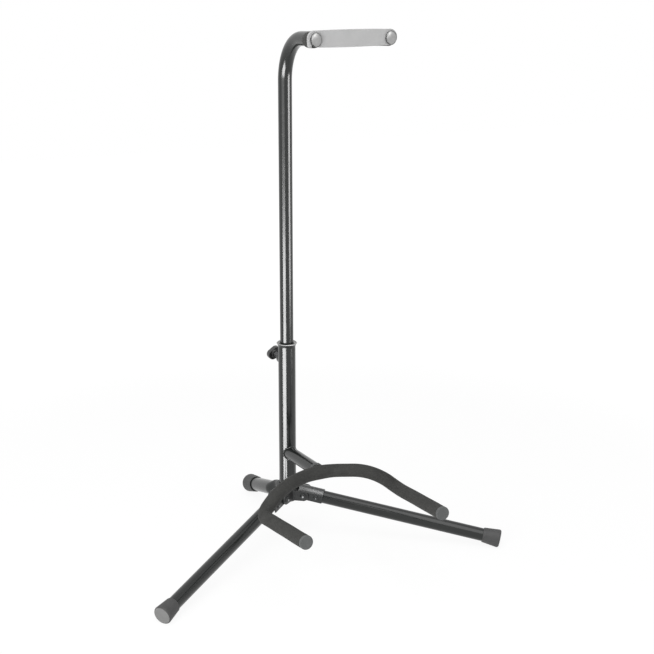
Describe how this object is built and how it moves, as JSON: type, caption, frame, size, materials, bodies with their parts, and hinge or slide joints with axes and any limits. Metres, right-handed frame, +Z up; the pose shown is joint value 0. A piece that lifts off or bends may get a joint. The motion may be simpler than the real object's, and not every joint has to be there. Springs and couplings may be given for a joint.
{
  "type": "guitar stand",
  "caption": "Tubular guitar stand with a foam-covered body cradle, a neck yoke with a rubber gate, a height-adjusting column and folding front legs.",
  "frame": {"origin": "on the floor under the middle of the stand's footprint box", "axes": "+Z up along the column, -Y to the front where the cradle and yoke open, +X to the right hand of someone who stands behind it and faces the front"},
  "size_m": [0.4458, 0.3738, 0.6277],
  "materials": {
    "gloss_black_tube": "gloss black powder coat over steel tube",
    "black_steel": "semi-gloss black paint on pressed steel",
    "hub_casting": "satin black paint on a casting",
    "black_plastic": "fine moulded texture",
    "foam": "closed-cell foam tube, matt",
    "foam_cap": "flat rubber disc, matt",
    "foot_rubber": "moulded rubber, matt",
    "gate_rubber": "light grey moulded rubber",
    "bright_steel": "bright domed steel",
    "zinc_steel": "zinc-plated steel",
    "weld": "painted-over weld bead"
  },
  "bodies": {
    "base": {"lower_tube": "gloss_black_tube", "column_plug": "black_plastic", "column_washer": "zinc_steel", "column_screw": "zinc_steel", "clamp_boss": "black_steel", "hub": "hub_casting", "rear_leg": "gloss_black_tube", "rear_leg_rivet": "black_steel", "rear_foot": "foot_rubber", "support_arm": "gloss_black_tube", "arm_root_weld": "weld", "arm_collar": "weld", "cradle_rod": "zinc_steel", "cradle_foam": "foam", "left_cradle_cap": "foam_cap", "right_cradle_cap": "foam_cap", "left_pivot_rivet": "black_steel", "right_pivot_rivet": "black_steel"},
    "swivel_bush": {"mouth_bush": "black_plastic"},
    "upper_column": {"upper_tube": "gloss_black_tube", "slide_plug": "black_plastic", "yoke_rod": "zinc_steel", "yoke_sleeve": "foam", "yoke_weld": "weld", "left_gate_stud": "bright_steel", "right_gate_stud": "bright_steel"},
    "gate": {"neck_gate": "gate_rubber"},
    "pressure_pad": {"clamp_pad": "black_plastic"},
    "clamp": {"clamp_screw": "zinc_steel", "wing_knob": "black_plastic"},
    "left_leg": {"left_leg_bracket": "black_steel", "left_leg_tube": "gloss_black_tube", "left_leg_rivet": "black_steel", "left_pivot_spacer": "black_plastic", "left_foot": "foot_rubber"},
    "right_leg": {"right_leg_bracket": "black_steel", "right_leg_tube": "gloss_black_tube", "right_leg_rivet": "black_steel", "right_pivot_spacer": "black_plastic", "right_foot": "foot_rubber"}
  },
  "joints": [
    {"name": "column_swivel", "type": "hinge", "parent": "base", "child": "swivel_bush", "pos_m": [0, 0.0549, 0.247], "axis": [0, 0, 1], "continuous": true},
    {"name": "column_slide", "type": "slide", "parent": "swivel_bush", "child": "upper_column", "axis": [0, 0, 1], "range_m": [0, 0.11]},
    {"name": "gate_swing", "type": "hinge", "parent": "upper_column", "child": "gate", "pos_m": [0.0418, -0.1161, 0.61792], "axis": [0, 0.9982, -0.0593], "range_deg": [0, 270]},
    {"name": "clamp_travel", "type": "slide", "parent": "base", "child": "pressure_pad", "axis": [0, 1, 0], "range_m": [0, 0.00126]},
    {"name": "clamp_turn", "type": "hinge", "parent": "pressure_pad", "child": "clamp", "pos_m": [0, 0.0909, 0.2235], "axis": [0, 1, 0], "range_deg": [0, 360]},
    {"name": "left_leg_fold", "type": "hinge", "parent": "base", "child": "left_leg", "pos_m": [-0.01791, 0.04213, 0.0516], "axis": [0.5807, -0.8141, 0], "range_deg": [0, 78]},
    {"name": "right_leg_fold", "type": "hinge", "parent": "base", "child": "right_leg", "pos_m": [0.01791, 0.04213, 0.0516], "axis": [0.5807, 0.8141, 0], "range_deg": [0, 78]}
  ],
  "couplings": [
    {"joint": "clamp_travel", "follows": "clamp_turn", "m_per_rad": 0.00019894}
  ]
}
